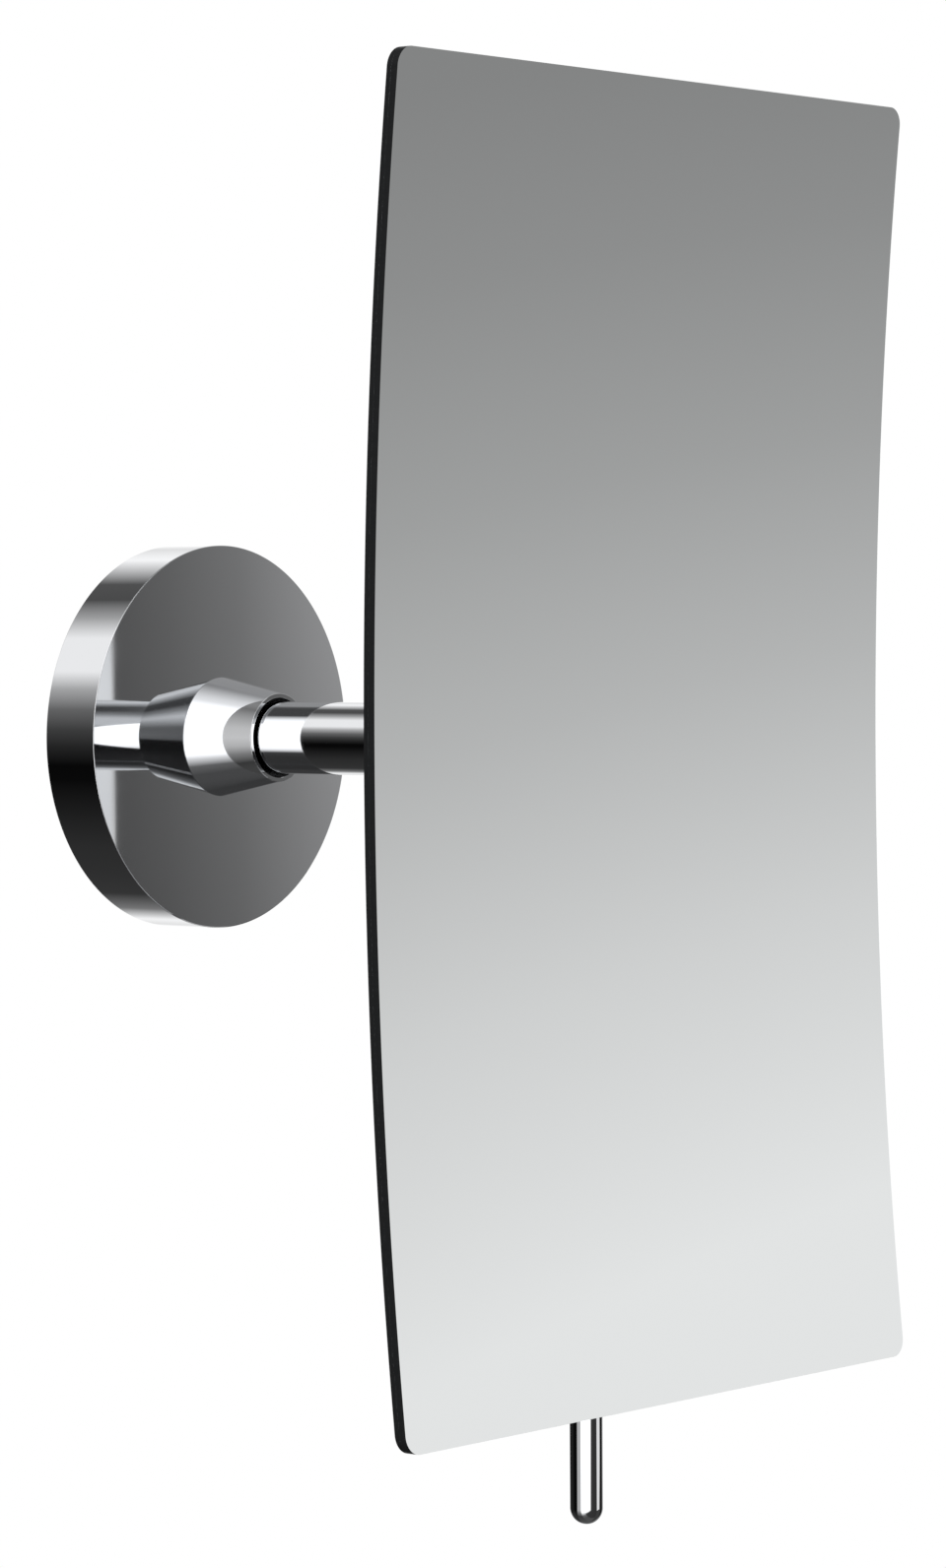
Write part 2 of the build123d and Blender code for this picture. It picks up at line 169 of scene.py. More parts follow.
def hood_light():
    """The hood's glow: each level is the linear brightness of a card at that place."""
    material, tree = new_material("graded_card")
    place = add_node(tree, "ShaderNodeTexCoord").outputs["Object"]
    x, y, z = add_node(tree, "ShaderNodeSeparateXYZ", {0: place}).outputs
    # Turn runs round the arm's axis from 0 through below, the left (0.5), above, and back to 1 on the right
    steps = [
        ("left", "MULTIPLY", "x", -1.0),
        ("angle", "ARCTAN2", "z", "left"),
        ("share", "DIVIDE", "angle", math.tau),
        ("turn", "ADD", "share", 0.5),
        ("inward", "SUBTRACT", "x", 0.692),
        ("lift", "MULTIPLY", "inward", 0.22),
        ("tilted", "SUBTRACT", "z", "lift"),
        ("raised", "ADD", "tilted", 0.30),
        ("height", "DIVIDE", "raised", 0.60),
        ("past_right", "SUBTRACT", "x", 0.735),
        ("below", "SUBTRACT", -0.17, "z"),
        ("low_right", "MINIMUM", "past_right", "below"),
        ("towards_front", "SUBTRACT", -0.86, "y"),
        ("above_low", "ADD", "z", 0.19),
        ("middle", "MINIMUM", "towards_front", "above_low"),
        ("wallward", "SUBTRACT", "y", 0.80),
        ("above_rod", "ADD", "z", 0.15),
        ("wall_pole", "MINIMUM", "wallward", "above_rod"),
    ]
    known = work_out(tree, {"x": x, "y": y, "z": z}, steps)
    # The levels were set until the metal's greys came close to the photograph's
    wall_side = [
        (0.00, 1.15), (0.06, 0.80), (0.10, 1.00), (0.15, 0.20), (0.20, 0.04), (0.26, 0.032), (0.31, 0.028),
        (0.38, 0.013), (0.43, 0.0033), (0.455, 0.0027), (0.485, 0.02), (0.513, 0.053), (0.546, 0.145),
        (0.58, 0.43), (0.61, 0.96), (0.67, 0.96), (0.71, 0.40), (0.75, 0.08), (0.79, 0.093), (0.87, 1.06),
        (0.93, 0.80), (1.00, 1.15),
    ]
    beside = [
        (0.00, 0.60), (0.15, 0.10), (0.34, 0.045), (0.40, 0.22), (0.45, 0.50), (0.50, 0.63), (0.56, 0.58),
        (0.628, 0.38), (0.69, 0.18), (0.78, 0.35), (1.00, 0.60),
    ]
    upper_left = [
        (0.00, 0.10), (0.30, 0.08), (0.35, 0.15), (0.39, 0.85), (0.42, 1.70), (0.66, 1.70), (0.70, 1.05),
        (0.75, 0.75), (0.81, 0.50), (1.00, 0.40),
    ]
    front_left = [
        (0.00, 0.03), (0.33, 0.04), (0.37, 0.06), (0.40, 1.20), (0.43, 1.70), (0.64, 1.70), (0.67, 1.20),
        (0.71, 0.07), (0.80, 0.07), (0.86, 0.30), (1.00, 0.30),
    ]
    front_right = [
        (0.00, 0.05), (0.03, 0.83), (0.30, 0.83), (0.38, 0.67), (0.45, 0.49), (0.51, 0.37), (0.57, 0.29),
        (0.62, 0.25), (0.80, 0.22), (1.00, 0.35),
    ]
    ramps = {
        "wall_side": ("turn", wall_side),
        "beside": ("turn", beside),
        "upper_left": ("turn", upper_left),
        "front_left": ("turn", front_left),
        "front_right": ("height", front_right),
        "black": ("height", [(0.0, 0.015), (1.0, 0.015)]),
        "wall_middle": ("height", [(0.0, 0.16), (0.4, 0.30), (1.0, 0.62)]),
    }
    cards = {}
    for card, (along, stops) in ramps.items():
        cards[card] = add_node(tree, "ShaderNodeValToRGB", {0: known[along]}, stops).outputs[0]
    # Each card ends in a soft edge between two places along one direction
    edges = [
        ("left", "front_left", "upper_left", "y", -0.55, -0.38),
        ("left", "left", "front_right", "middle", 0.0, 0.06),
        ("front", "left", "front_right", "x", 0.34, 0.42),
        ("front", "front", "black", "low_right", 0.0, 0.02),
        ("sides", "front", "beside", "y", -0.15, 0.0),
        ("sides", "sides", "wall_side", "y", 0.33, 0.46),
        ("hood", "sides", "black", "y", 0.80, 0.88),
        ("hood", "hood", "wall_middle", "wall_pole", 0.0, 0.20),
    ]
    for result, under, over, across, start, end in edges:
        edge = add_node(
            tree,
            "ShaderNodeMapRange",
            {"Value": known[across], "From Min": start, "From Max": end},
            interpolation_type="SMOOTHSTEP",
        )
        both = {0: edge.outputs[0], "A": cards[under], "B": cards[over]}
        cards[result] = add_node(tree, "ShaderNodeMix", both, data_type="RGBA").outputs["Result"]
    glow = add_node(tree, "ShaderNodeEmission", {"Color": cards["hood"], "Strength": 1.0})
    add_node(tree, "ShaderNodeOutputMaterial", {"Surface": glow.outputs[0]})
    return material


def grading_hood():
    """A sphere of graded cards about the mirror, one metre in radius."""
    mesh = bpy.data.meshes.new("grading_hood")
    shape = bmesh.new()
    bmesh.ops.create_uvsphere(shape, u_segments=96, v_segments=48, radius=1.0)
    shape.to_mesh(mesh)
    shape.free()
    mesh.polygons.foreach_set("use_smooth", [True] * len(mesh.polygons))
    mesh.materials.append(hood_light())
    hood = bpy.data.objects.new("grading_hood", mesh)
    scene.collection.objects.link(hood)
    only_in_reflections(hood)


def rosette_card():
    """A grey card beside the panel's right edge, which grades the rosette's face from left to right."""
    low_corner = Vector((0.0675, -0.0965, -0.060))
    high_corner = Vector((0.145, -0.0965, 0.052))
    mesh = bpy.data.meshes.new("rosette_card")
    across = [(low_corner.x, low_corner.z), (high_corner.x, low_corner.z)]
    across += [(high_corner.x, high_corner.z), (low_corner.x, high_corner.z)]
    mesh.from_pydata([(x, low_corner.y, z) for x, z in across], [], [(0, 3, 2, 1)])
    material, tree = new_material("grey_card")
    place = add_node(tree, "ShaderNodeTexCoord").outputs["Object"]
    x, _, z = add_node(tree, "ShaderNodeSeparateXYZ", {0: place}).outputs
    share = add_node(
        tree, "ShaderNodeMapRange", {"Value": x, "From Min": low_corner.x, "From Max": high_corner.x}
    )
    stops = [(0.0, 0.095), (0.20, 0.125), (0.47, 0.18), (0.85, 0.32), (1.0, 0.36)]
    grey = add_node(tree, "ShaderNodeValToRGB", {0: share.outputs[0]}, stops)
    # A little darker low down
    upwards = {"Value": z, "From Min": -0.06, "From Max": 0.04, "To Min": 0.72, "To Max": 1.10}
    strength = add_node(tree, "ShaderNodeMapRange", upwards).outputs[0]
    glow = add_node(tree, "ShaderNodeEmission", {"Color": grey.outputs[0], "Strength": strength})
    add_node(tree, "ShaderNodeOutputMaterial", {"Surface": glow.outputs[0]})
    mesh.materials.append(material)
    card = bpy.data.objects.new("rosette_card", mesh)
    scene.collection.objects.link(card)
    only_in_reflections(card)


def soft_lamp(name, place, size, power):
    """A square softbox aimed at the mirror, which lights surfaces but isn't itself reflected."""
    data = bpy.data.lights.new(name, "AREA")
    data.shape = "SQUARE"
    data.size = size
    data.energy = power
    lamp = bpy.data.objects.new(name, data)
    lamp.location = place
    lamp.rotation_euler = (Vector((0, -0.05, 0)) - Vector(place)).to_track_quat("-Z", "Y").to_euler()
    lamp.visible_glossy = False
    scene.collection.objects.link(lamp)


white_surroundings()
pale_floor()
grading_hood()
rosette_card()
soft_lamp("key_softbox", (-1.4, -1.6, 1.6), 1.2, 26.0)
soft_lamp("fill_softbox", (1.8, -1.0, 0.6), 1.5, 12.0)
soft_lamp("back_softbox", (0.6, 1.8, 1.2), 1.2, 10.0)


# Wall plate
# A zinc die casting, screwed to the wall inside the rosette and never seen once the mirror is up. It is
# left as cast: dull grey, with a fine orange-peel skin and slow cloudy stains from the die.
def cast_zinc():
    """Zinc alloy as cast: dull, even grey, with a skin of half-millimetre bumps."""
    material, tree = new_material("zinc_die_casting")
    place = add_node(tree, "ShaderNodeTexCoord").outputs["Object"]
    skin = add_node(tree, "ShaderNodeTexNoise", {"Vector": place, "Scale": 2000.0, "Detail": 4.0})
    stains = add_node(tree, "ShaderNodeTexNoise", {"Vector": place, "Scale": 120.0, "Detail": 3.0})
    tint = {0: stains.outputs["Fac"], "A": linear("#8F9194"), "B": linear("#A9ABAD")}
    colour = add_node(tree, "ShaderNodeMix", tint, data_type="RGBA").outputs["Result"]
    rough = add_node(
        tree, "ShaderNodeMapRange", {"Value": skin.outputs["Fac"], "To Min": 0.38, "To Max": 0.62}
    )
    height = {"Height": skin.outputs["Fac"], "Strength": 0.5, "Distance": 0.00003}
    bump = add_node(tree, "ShaderNodeBump", height)
    surface = {
        "Base Color": colour,
        "Metallic": 1.0,
        "Roughness": rough.outputs[0],
        "Normal": bump.outputs[0],
    }
    shader = add_node(tree, "ShaderNodeBsdfPrincipled", surface)
    add_node(tree, "ShaderNodeOutputMaterial", {"Surface": shader.outputs[0]})
    return material


def finish_nodes(material, *names):
    """Give construction nodes, whose shape is right as it is, their finish."""
    for name in names:
        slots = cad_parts[name].data.materials
        slots.clear()
        slots.append(material)


finish_nodes(cast_zinc(), "wall_plate")


# Rosette
# A cup turned from brass, polished, and plated with bright nickel and chromium. It is pushed over the
# wall plate and held by a grub screw from below. Its edges are broken by a tenth of a millimetre.
def polished_metal(name, colour, roughness, wipe_depth):
    """Bright polished metal with soft wiping marks and slow clouds left by the buffing wheel."""
    material, tree = new_material(name)
    place = add_node(tree, "ShaderNodeTexCoord").outputs["Object"]
    # Wiping marks about 0.4 mm apart, stretched eightfold upwards
    stretched = add_node(tree, "ShaderNodeMapping", {"Vector": place, "Scale": (2500.0, 2500.0, 320.0)})
    marks = {"Vector": stretched.outputs[0], "Scale": 1.0, "Detail": 3.0, "Roughness": 0.6}
    marks = add_node(tree, "ShaderNodeTexNoise", marks).outputs["Fac"]
    # Cloudiness of the finish, in patches of about 12 mm
    clouds = add_node(tree, "ShaderNodeTexNoise", {"Vector": place, "Scale": 80.0, "Detail": 2.0})
    patchy = {
        "Value": clouds.outputs["Fac"],
        "From Min": 0.3,
        "From Max": 0.7,
        "To Min": roughness,
        "To Max": roughness * 1.8,
    }
    patchy = add_node(tree, "ShaderNodeMapRange", patchy).outputs[0]
    bump = add_node(tree, "ShaderNodeBump", {"Height": marks, "Strength": 0.04, "Distance": wipe_depth})
    surface = {
        "Base Color": linear(colour),
        "Metallic": 1.0,
        "Roughness": patchy,
        "Normal": bump.outputs[0],
    }
    shader = add_node(tree, "ShaderNodeBsdfPrincipled", surface)
    add_node(tree, "ShaderNodeOutputMaterial", {"Surface": shader.outputs[0]})
    return material


def along_arm(node):
    """A turned node's outer radius, and how far from the wall it starts and ends."""
    low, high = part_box(node)
    return high[0], -high[1], -low[1]


def eased(outline, corner):
    """The closed (radius, distance) outline with each corner off the axis rounded over."""
    rounded = []
    steps = 4
    points = [Vector(point) for point in outline]
    for before, point, after in zip(points[-1:] + points, points, points[1:] + points[:1]):
        if point.x < 1e-6:
            rounded.append(point)
            continue
        start = point + (before - point).normalized() * corner
        end = point + (after - point).normalized() * corner
        for step in range(steps + 1):
            share = step / steps
            rounded.append(start.lerp(point, share).lerp(point.lerp(end, share), share))
    return rounded


def turned(name, outline, foot=(0, 0, 0), along=(0, -1, 0), sides=256):
    """Turn a closed (radius, distance along) outline into a solid about the line from foot."""
    lean = Vector(along).to_track_quat("Z", "Y").to_matrix()
    shape = bmesh.new()
    rings = []
    for radius, distance in outline:
        ring = []
        for step in range(sides if radius > 1e-6 else 1):
            angle = math.tau * step / sides
            spot = Vector((radius * math.cos(angle), radius * math.sin(angle), distance))
            ring.append(shape.verts.new(Vector(foot) + lean @ spot))
        rings.append(ring)
    for near, far in zip(rings, rings[1:] + rings[:1]):
        if len(near) == len(far) == 1:
            continue
        for step in range(sides):
            following = step + 1
            corners = [near[step % len(near)], near[following % len(near)]]
            corners += [far[following % len(far)], far[step % len(far)]]
            shape.faces.new(list(dict.fromkeys(corners)))
    bmesh.ops.recalc_face_normals(shape, faces=shape.faces)
    mesh = bpy.data.meshes.new(name)
    shape.to_mesh(mesh)
    shape.free()
    piece = bpy.data.objects.new(name, mesh)
    scene.collection.objects.link(piece)
    shade(piece)
    return piece


def shade(piece):
    """Smooth, except across real corners."""
    mesh = piece.data
    mesh.polygons.foreach_set("use_smooth", [True] * len(mesh.polygons))
    mesh.set_sharp_from_angle(angle=math.radians(5.5))


def settle(piece):
    """Turn a piece's modifiers into plain mesh."""
    evaluated = piece.evaluated_get(bpy.context.evaluated_depsgraph_get())
    mesh = bpy.data.meshes.new_from_object(evaluated)
    piece.modifiers.clear()
    piece.data = mesh
    shade(piece)


def drilled(piece, cutters):
    """Cut away what the cutters fill, and throw the cutters away."""
    for cutter in cutters:
        cut = piece.modifiers.new("hole", "BOOLEAN")
        cut.operation = "DIFFERENCE"
        cut.solver = "EXACT"
        cut.object = cutter
    settle(piece)
    for cutter in cutters:
        bpy.data.objects.remove(cutter)


def drill(radius, start, end, foot, along):
    """A plain round cutter."""
    outline = [(0, start), (radius, start), (radius, end), (0, end)]
    return turned("cutter", outline, foot, along, sides=96)


def stands_for(piece, node, body, material):
    """Finish a piece that takes a construction node's place."""
    piece.data.materials.clear()
    piece.data.materials.append(material)
    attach(piece, body)
    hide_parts(node)


def rosette(chrome):
    """The cup, drilled from below for its grub screw."""
    radius, rear, front = along_arm("rosette")
    inside = front - 0.0025
    rim = radius - 0.0026
    bore = 0.00805
    outline = [(bore, inside), (rim, inside), (rim, rear), (radius, rear), (radius, front), (bore, front)]
    piece = turned("rosette_shell", eased(outline, 0.00012), sides=384)
    grub_low, grub_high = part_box("rosette_grub_screw")
    grub_out = -(grub_low[1] + grub_high[1]) / 2
    hole_radius = (grub_high[0] - grub_low[0]) / 2 + 0.00005
    drilled(piece, [drill(hole_radius, rim - 0.001, radius + 0.001, (0, -grub_out, 0), (0, 0, -1))])
    stands_for(piece, "rosette", "wall", chrome)


bright_chrome = polished_metal("bright_chrome_plate", "#ECEDEF", 0.025, 0.000002)
rosette(bright_chrome)


# Grub screw, swivel stud and its friction stack
# Bright steel screws, washers and nuts, turned on an automatic lathe. The cutting tool leaves fine rings
# about the axis, which spread each highlight across them.
def turned_metal(name, colour, roughness, ring_pitch):
    """Machined metal with rings about the arm's axis, on faces and flanks alike."""
    material, tree = new_material(name)
    place = add_node(tree, "ShaderNodeTexCoord").outputs["Object"]
    x, y, z = add_node(tree, "ShaderNodeSeparateXYZ", {0: place}).outputs
    steps = [
        ("across", "MULTIPLY", "x", "x"),
        ("upwards", "MULTIPLY", "z", "z"),
        ("squares", "ADD", "across", "upwards"),
        ("radius", "SQRT", "squares"),
        ("path", "ADD", "radius", "y"),
        ("rings", "DIVIDE", "path", ring_pitch),
    ]
    rings = work_out(tree, {"x": x, "y": y, "z": z}, steps)["rings"]
    marks = add_node(
        tree, "ShaderNodeTexNoise", {"W": rings, "Scale": 1.0, "Detail": 2.0}, noise_dimensions="1D"
    ).outputs["Fac"]
    rough = {"Value": marks, "To Min": roughness * 0.7, "To Max": roughness * 1.3}
    rough = add_node(tree, "ShaderNodeMapRange", rough).outputs[0]
    bump = add_node(tree, "ShaderNodeBump", {"Height": marks, "Strength": 0.35, "Distance": 0.00001})
    surface = {
        "Base Color": linear(colour),
        "Metallic": 1.0,
        "Roughness": rough,
        "Normal": bump.outputs[0],
    }
    shader = add_node(tree, "ShaderNodeBsdfPrincipled", surface)
    add_node(tree, "ShaderNodeOutputMaterial", {"Surface": shader.outputs[0]})
    return material


# Rings 0.2 mm apart, coarser than most turning, so that they show
bright_steel = turned_metal("bright_turned_steel", "#B4B5B7", 0.24, 0.0002)
finish_nodes(
    bright_steel, "rosette_grub_screw", "swivel_stud", "thrust_washer", "spring_washer", "lock_nut"
)


# Collar and its nut
# The collar is turned from brass with a slim taper and a thin lip round its mouth, then chromed. A plain
# brass nut, left as machined, clamps it to the rosette from behind.
def collar(chrome):
    """The tapered ring, with the floor that the swivel clamps and a spigot through the rosette."""
    base_radius, spigot_rear, mouth = along_arm("collar")
    face = along_arm("rosette")[2]
    tail_hole = 0.00305
    bore = 0.00665
    lip = bore + 0.0007
    spigot = bore + 0.00135
    floor_front = 0.008
    floor_rear = 0.006
    outline = [
        (tail_hole, floor_rear),
        (tail_hole, floor_front),
        (bore, floor_front),
        (bore, mouth),
        (lip, mouth),
        (base_radius, face),
        (spigot, face),
        (spigot, spigot_rear),
        (bore, spigot_rear),
        (bore, floor_rear),
    ]
    piece = turned("tapered_collar", eased(outline, 0.0001), sides=320)
    stands_for(piece, "collar", "wall", chrome)


collar(bright_chrome)
finish_nodes(turned_metal("machined_brass", "#C8A45C", 0.22, 0.00025), "collar_nut")


# Bush and washers
# The collar's bush is black acetal and the friction washers are natural nylon, all injection moulded:
# smooth with a soft sheen, and a skin too fine to feel that takes the edge off highlights.
def moulded_plastic(name, colour, roughness, ior):
    """Moulded plastic with a fine spark-eroded skin and slow clouding."""
    material, tree = new_material(name)
    place = add_node(tree, "ShaderNodeTexCoord").outputs["Object"]
    skin = add_node(tree, "ShaderNodeTexNoise", {"Vector": place, "Scale": 3500.0, "Detail": 2.0})
    clouds = add_node(tree, "ShaderNodeTexNoise", {"Vector": place, "Scale": 150.0, "Detail": 2.0})
    rough = {"Value": clouds.outputs["Fac"], "To Min": roughness * 0.85, "To Max": roughness * 1.15}
    rough = add_node(tree, "ShaderNodeMapRange", rough).outputs[0]
    height = {"Height": skin.outputs["Fac"], "Strength": 0.3, "Distance": 0.00001}
    bump = add_node(tree, "ShaderNodeBump", height)
    surface = {
        "Base Color": linear(colour),
        "Roughness": rough,
        "IOR": ior,
        "Normal": bump.outputs[0],
    }
    shader = add_node(tree, "ShaderNodeBsdfPrincipled", surface)
    add_node(tree, "ShaderNodeOutputMaterial", {"Surface": shader.outputs[0]})
    return material


finish_nodes(moulded_plastic("black_acetal", "#17181A", 0.42, 1.48), "collar_bush")
natural_nylon = moulded_plastic("natural_nylon", "#DAD7CC", 0.38, 1.53)
finish_nodes(natural_nylon, "friction_washer_front", "friction_washer_rear", "ball_liner", "pressure_cup")


# Arm tube
# Drawn brass tube, 12 mm across, polished and chromed with the rest. Its ends are faced square.
def arm_tube(chrome):
    """The straight tube from the collar to the ball stud."""
    radius, rear, front = along_arm("arm_tube")
    bore = radius - 0.001
    outline = [(bore, rear), (radius, rear), (radius, front), (bore, front)]
    piece = turned("chromed_tube", eased(outline, 0.00008), sides=320)
    stands_for(piece, "arm_tube", "arm", chrome)


arm_tube(bright_chrome)


# Ball stud
# One turned and chromed piece: a plug inside the tube, a shoulder against its end, a slim neck that lets
# the socket swing, and the ball itself.
def ball_stud(chrome):
    """Plug, shoulder, neck and ball."""
    radius, plug_rear, ball_front = along_arm("ball_stud")
    tube_radius, _, tube_front = along_arm("arm_tube")
    shoulder_front = tube_front + 0.0015
    plug_radius = tube_radius - 0.00102
    neck = 0.0032
    ball_centre = ball_front - radius
    outline = [
        (0, plug_rear),
        (plug_radius, plug_rear),
        (plug_radius, tube_front),
        (tube_radius, tube_front),
        (tube_radius, shoulder_front),
        (neck, shoulder_front),
    ]
    outline = eased(outline, 0.0001)[:-5] + [Vector((neck, shoulder_front))]
    # A quarter turn and a bit of arc, from the neck over the widest place to the front
    first = math.asin(neck / radius)
    rows = 40
    for row in range(rows + 1):
        angle = first + (math.pi - first) * row / rows
        spot = Vector((radius * math.sin(angle), ball_centre - radius * math.cos(angle)))
        outline.append(spot if row < rows else Vector((0, ball_front)))
    piece = turned("ball_and_neck", outline, sides=192)
    stands_for(piece, "ball_stud", "arm", chrome)


ball_stud(bright_chrome)


# Ball socket
# A turned cap with two holes for a pin spanner is screwed into the socket body from behind. The liner,
# the cup and the disc spring inside give the joint its friction.
def socket_cap(chrome):
    """The cap: its seat follows the liner's round outside, and its mouth flares clear of the neck."""
    radius, rear, plug_front = along_arm("socket_cap")
    body_rear = along_arm("socket_body")[1]
    liner_radius, liner_rear, liner_front = along_arm("ball_liner")
    ball_centre = (liner_rear + liner_front) / 2
    seat = liner_radius + 0.00005
    plug_radius = liner_radius + 0.0024
    mouth = 0.00763
    throat_angle = math.radians(56.4)
    corners = [(mouth, rear), (radius, rear), (radius, body_rear), (plug_radius, body_rear)]
    corners.append((plug_radius, plug_front))
    outline = eased(corners, 0.00015)[3:-3]
    last_angle = math.acos((ball_centre - plug_front) / seat)
    rows = 12
    for row in range(rows + 1):
        angle = last_angle + (throat_angle - last_angle) * row / rows
        outline.append(Vector((seat * math.sin(angle), ball_centre - seat * math.cos(angle))))
    piece = turned("socket_ring", outline, sides=256)
    hole_place = (radius + mouth) / 2
    hole_radius = 0.001
    hole_depth = 0.0014
    holes = []
    for side in (1, -1):
        foot = (side * hole_place, 0, 0)
        holes.append(drill(hole_radius, rear - 0.001, rear + hole_depth, foot, (0, -1, 0)))
    drilled(piece, holes)
    stands_for(piece, "socket_cap", "head", chrome)


def socket_body(chrome):
    """The housing, drilled below for the handle's spigot."""
    radius, rear, front = along_arm("socket_body")
    bore = radius - 0.0044
    cap_bore = bore + 0.00185
    cap_seat = along_arm("socket_cap")[2] + 0.0002
    outline = [
        (cap_bore, rear),
        (radius, rear),
        (radius, front),
        (bore, front),
        (bore, cap_seat),
        (cap_bore, cap_seat),
    ]
    piece = turned("socket_housing", eased(outline, 0.00015), sides=256)
    rod_low, rod_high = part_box("handle_rod")
    rod_out = -(rod_low[1] + rod_high[1]) / 2
    drilled(piece, [drill(0.00205, bore - 0.001, radius + 0.001, (0, -rod_out, 0), (0, 0, -1))])
    stands_for(piece, "socket_body", "head", chrome)


socket_cap(bright_chrome)
socket_body(bright_chrome)
finish_nodes(bright_steel, "disc_spring", "hub_screws")


# Hub flange
# A turned disc that closes the socket and carries the panel, held by three countersunk screws. It is
# chromed, though only its rim and back show past the socket.
def hub_flange(chrome):
    """The disc, with its countersunk holes."""
    radius, rear, front = along_arm("hub_flange")
    outline = [(0, rear), (radius, rear), (radius, front), (0, front)]
    piece = turned("flange_disc", eased(outline, 0.0002), sides=256)
    screw_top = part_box("hub_screws")[1][2]
    shank = 0.00155
    head = 0.00285
    circle = screw_top - head + 0.00005
    sink = front - (head - shank)
    outline = [(0, rear - 0.001), (shank, rear - 0.001), (shank, sink), (head, front), (head, front + 0.001)]
    outline.append((0, front + 0.001))
    holes = []
    for angle in (90, 210, 330):
        across = circle * math.cos(math.radians(angle))
        up = circle * math.sin(math.radians(angle))
        holes.append(turned("cutter", outline, (across, 0, up), (0, -1, 0), sides=96))
    drilled(piece, holes)
    stands_for(piece, "hub_flange", "head", chrome)


hub_flange(bright_chrome)


# Adhesive pad
# Black acrylic foam tape, cut round, that fills the space between the flat flange and the bent panel. Its
# cut edge shows the foam's open cells as fine pits, and painted shade darkens the colour in each pit.
def foam_tape():
    """Matt black foam with open pores about 0.3 mm across, darkened in each pore with painted shade."""
    material, tree = new_material("acrylic_foam_tape")
    place = add_node(tree, "ShaderNodeTexCoord").outputs["Object"]
    pits_and_shade = add_node(tree, "ShaderNodeTexVoronoi", {"Vector": place, "Scale": 3300.0}).outputs["Distance"]
    # Painted shade: the colour runs from the lighter black at the cell walls to the darker black in each pit
    tint = {0: pits_and_shade, "A": linear("#0E0E0F"), "B": linear("#2A2A2B")}
    colour = add_node(tree, "ShaderNodeMix", tint, data_type="RGBA").outputs["Result"]
    bump = add_node(tree, "ShaderNodeBump", {"Height": pits_and_shade, "Strength": 0.8, "Distance": 0.00008})
    surface = {"Base Color": colour, "Roughness": 0.85, "IOR": 1.45, "Normal": bump.outputs[0]}
    shader = add_node(tree, "ShaderNodeBsdfPrincipled", surface)
    add_node(tree, "ShaderNodeOutputMaterial", {"Surface": shader.outputs[0]})
    return material


finish_nodes(foam_tape(), "adhesive_pad")


# Back plate and mirror pane
# Two thin sheets bent together about a level axis: a polished backing plate, and the magnifying pane,
# silvered to an optical finish. Their edges are ground after bending and stay dark.
def ground_edge():
    """The edge of the sheets: ground, darkened and matt, so it shows as one even dark line."""
    material, tree = new_material("ground_dark_edge")
    place = add_node(tree, "ShaderNodeTexCoord").outputs["Object"]
    # Grinding lines across the edge, 0.3 mm apart
    stretched = add_node(tree, "ShaderNodeMapping", {"Vector": place, "Scale": (3000.0, 300.0, 3000.0)})
    lines = add_node(tree, "ShaderNodeTexNoise", {"Vector": stretched.outputs[0], "Scale": 1.0})
    tint = {0: lines.outputs["Fac"], "A": linear("#1A1B1C"), "B": linear("#242526")}
    colour = add_node(tree, "ShaderNodeMix", tint, data_type="RGBA").outputs["Result"]
    bump = add_node(
        tree, "ShaderNodeBump", {"Height": lines.outputs["Fac"], "Strength": 0.15, "Distance": 0.000005}
    )
    surface = {"Base Color": colour, "Roughness": 0.5, "Specular IOR Level": 0.1, "Normal": bump.outputs[0]}
    shader = add_node(tree, "ShaderNodeBsdfPrincipled", surface)
    add_node(tree, "ShaderNodeOutputMaterial", {"Surface": shader.outputs[0]})
    return material


